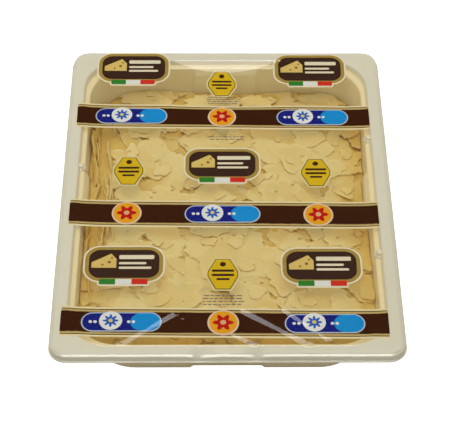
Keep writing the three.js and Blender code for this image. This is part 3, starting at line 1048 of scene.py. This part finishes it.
capsules = motif_places(1)
width, height = CAPSULE_SIZE
corner = height / 2 - NEARLY_ROUND
border = 2 * CAPSULE_BORDER
rim = rectangle(width + border, height + border, corner + CAPSULE_BORDER)
whole = rectangle(width, height, corner)
end = rectangle(width / 2.6, height, corner, width / 2 - width / 5.2)
ink("capsule_border", (0.42, 0.47, 0.52), 5, capsules, rim)
ink("capsule_dark", (0.010, 0.014, 0.17), 4, capsules, whole)
ink("capsule_light", (0.01, 0.24, 0.55), 3, capsules, end)
ink("capsule_disc", CAPSULE_WHITE, 2, capsules, round_field(8.6, at=DISC_AT))
dots = [round_field(1.3, at=(x, 0)) for x in (-23, -19.5, 5.5, 9)]
ink("capsule_dots", CAPSULE_WHITE, 2, capsules, *dots)
ink("capsule_flower", (0.02, 0.10, 0.42), 1, capsules, round_field(4.6, 1.4, 8, DISC_AT))
ink("capsule_flower_middle", (0.66, 0.50, 0.10), 0, capsules, round_field(1.6, at=DISC_AT))

# ------------------------ printed plaques
# Above the other crossings stands a yellow eight-sided plaque with a pale border and a dark
# outline, and on it a round dot above three plain dark bars.
PLAQUE_SIZE = (26, 32)
PLAQUE_ABOVE = (42, 45, 46)


def octagon(width, height, cut):
    """A rectangle with its corners cut off, by `cut` across and twice that up."""
    x, y, up = width / 2, height / 2, height / 2 - 2 * cut
    right = [(x, -up), (x, up), (x - cut, y)]
    left = [(cut - x, y), (-x, up), (-x, -up)]
    return polygon(np.array([*right, *left, (cut - x, -y), (x - cut, -y)]))


plaques = motif_places(0, PLAQUE_ABOVE)
width, height = PLAQUE_SIZE
for part, tone, level, less, cut in (
    ("border", (0.66, 0.55, 0.24), 5, 0, 6.4),
    ("outline", (0.035, 0.022, 0.006), 4, 2.6, 6.1),
    ("field", (0.62, 0.40, 0.012), 3, 3.8, 5.9),
):
    ink("plaque_" + part, tone, level, plaques, octagon(width - less, height - less, cut))
bars = [(17, 2.2, 0.8, 0, 3.2), (17, 2.2, 0.8, 0, -1.0), (10, 2.0, 0.8, 0, -5.0)]
bars = [rectangle(*bar) for bar in bars]
ink("plaque_bars", (0.045, 0.02, 0.008), 2, plaques, *bars, round_field(2.3, at=(0, 9.5)))

# ------------------------ printed seals
# On the band under each plaque lies a round orange seal with a pale edge, and on it a red flower
# of six petals with a pale middle.
seals = motif_places(0)
for part, tone, level, radius, depth in (
    ("edge", (0.70, 0.50, 0.36), 4, 11.8, 0),
    ("orange", (0.70, 0.32, 0.015), 2, 10.5, 0),
    ("flower", (0.46, 0.008, 0.006), 1, 6.2, 1.7),
    ("middle", (0.66, 0.36, 0.16), 0, 2.2, 0),
):
    ink("seal_" + part, tone, level, seals, round_field(radius, depth))

# ------------------------ fine print
# Three blocks of fine print stand beside the bands, in the middle of the film. They are only
# broken dark dashes. Each block is its middle, its number of lines, and their width.
PRINT_BLOCKS = [((-2.8, 104.4), 4, 30), ((-0.7, 58.5), 2, 32), ((-4.0, -109.3), 4, 31)]
LINE_STEP = 2.8
DASH_HEIGHT = 1.0
DASH_WIDTHS = (1.4, 4.6)
DASH_GAP = 0.9


def fine_print():
    """Dashes of random length, in centred lines."""
    dashes = []
    for (x, y), lines, width in PRINT_BLOCKS:
        for line in range(lines):
            span = width * rng.uniform(0.8, 1.0)
            at = x - span / 2
            height = y + ((lines - 1) / 2 - line) * LINE_STEP
            while at < x + span / 2:
                dash = rng.uniform(*DASH_WIDTHS)
                dashes.append(rectangle(dash, DASH_HEIGHT, 0.4, at + dash / 2, height))
                at += dash + DASH_GAP
    return dashes


ink("fine_print", (0.20, 0.15, 0.12), 0, [(0, 0)], *fine_print())

# ------------------------ studio
# A plain white floor, a softbox behind and above, and two bright cards that only gloss mirrors.
# Lamps are placed and sized in metres.
FLOOR_RADIUS = 12000
FLOOR_THICK = 20
SKY = 0.55
SKY_MIRRORED = (0.75, 0.02)
SKY_FADES = (0.05, 0.35)
CAMERA_AT = Vector((-10.6, -779.1, 931.7)) * MM
CAMERA_LOOKS_AT = Vector((2.55, -28.525, 50)) * MM
CAMERA_ROLL = math.radians(0.715)
CAMERA_LENS = 115.02


def floor():
    """A flat round floor, wide enough to fill every view."""
    turn = turns(48)
    ring = np.stack([np.cos(turn), np.sin(turn), 0 * turn], axis=1)
    material = finish(
        "white_floor",
        (0.56, 0.56, 0.56, 1),
        (0.54, 0.54, 0.54, 1),
        scale=3,
        lean=0,
        relief=(30, 200, 0.5),
        depth=0.01,
        shine={"Roughness": 0.7, "Emission Color": (1, 1, 1, 1)},
    )
    tree = material.node_tree
    path = add(tree, "ShaderNodeLightPath")
    glow = mixed(tree, "FLOAT", path.outputs["Is Camera Ray"], 0, 1)
    tree.links.new(glow, tree.nodes["Principled BSDF"].inputs["Emission Strength"])
    rings = np.stack([ring * radius for radius in (300, FLOOR_RADIUS, FLOOR_RADIUS, 300)])
    rings[:2, :, 2] = -FLOOR_THICK
    return build("floor", *skin(rings[None]), material)


def aimed(name, data, at, aim):
    """A lamp or camera at one point that looks at another."""
    holder = bpy.data.objects.new(name, data)
    holder.location = at
    holder.rotation_mode = "QUATERNION"
    holder.rotation_quaternion = (aim - at).to_track_quat("-Z", "Y")
    bpy.context.scene.collection.objects.link(holder)
    return holder


def softbox(name, at, aim, size, power, **seen_by):
    """A rectangular lamp aimed at a point; seen_by says which rays see it."""
    lamp = bpy.data.lights.new(name, "AREA")
    lamp.shape = "RECTANGLE"
    lamp.size, lamp.size_y = size
    lamp.energy = power
    holder = aimed(name, lamp, Vector(at), Vector(aim))
    for ray, seen in seen_by.items():
        setattr(holder, "visible_" + ray, seen)


def sky():
    """Even pale light from all round, and white where the camera looks. In mirrors it is pale by
    the horizon and fades to nearly black overhead."""
    world = bpy.data.worlds.new("studio")
    world.use_nodes = True
    tree = world.node_tree
    path = add(tree, "ShaderNodeLightPath").outputs
    direction = add(tree, "ShaderNodeTexCoord").outputs["Generated"]
    rise = add(tree, "ShaderNodeSeparateXYZ", {0: direction}).outputs["Z"]
    names = ("From Min", "From Max", "To Min", "To Max")
    fade = {"Value": rise, **dict(zip(names, SKY_FADES + SKY_MIRRORED))}
    fade = add(tree, "ShaderNodeMapRange", fade, interpolation_type="SMOOTHSTEP")
    mirrored = mixed(tree, "FLOAT", path["Is Glossy Ray"], SKY, fade.outputs[0])
    strength = mixed(tree, "FLOAT", path["Is Camera Ray"], mirrored, 1)
    background = tree.nodes["Background"]
    background.inputs["Color"].default_value = (1, 1, 1, 1)
    tree.links.new(strength, background.inputs["Strength"])
    bpy.context.scene.world = world


def camera():
    """The photo's view: from the front and about 50 degrees up, through a long lens."""
    lens = bpy.data.cameras.new("camera")
    lens.lens = CAMERA_LENS
    lens.clip_end = 50
    holder = aimed("camera", lens, CAMERA_AT, CAMERA_LOOKS_AT)
    holder.rotation_quaternion = holder.rotation_quaternion @ Quaternion((0, 0, 1), CAMERA_ROLL)
    bpy.context.scene.camera = holder


floor()
softbox("key", (-0.1, 0.5, 1.45), (0, 0, 0), (1.5, 1.4), 17, glossy=False, transmission=False)
softbox("film_card", (0, 0.38, 1.05), (0, 0.38, 0), (1.1, 0.2), 1.5, diffuse=False)
softbox("rim_card", (0, -0.86, 1.05), (0, -0.86, 0), (1.1, 0.88), 30, diffuse=False)
sky()
camera()
bpy.context.scene.view_settings.view_transform = "Standard"
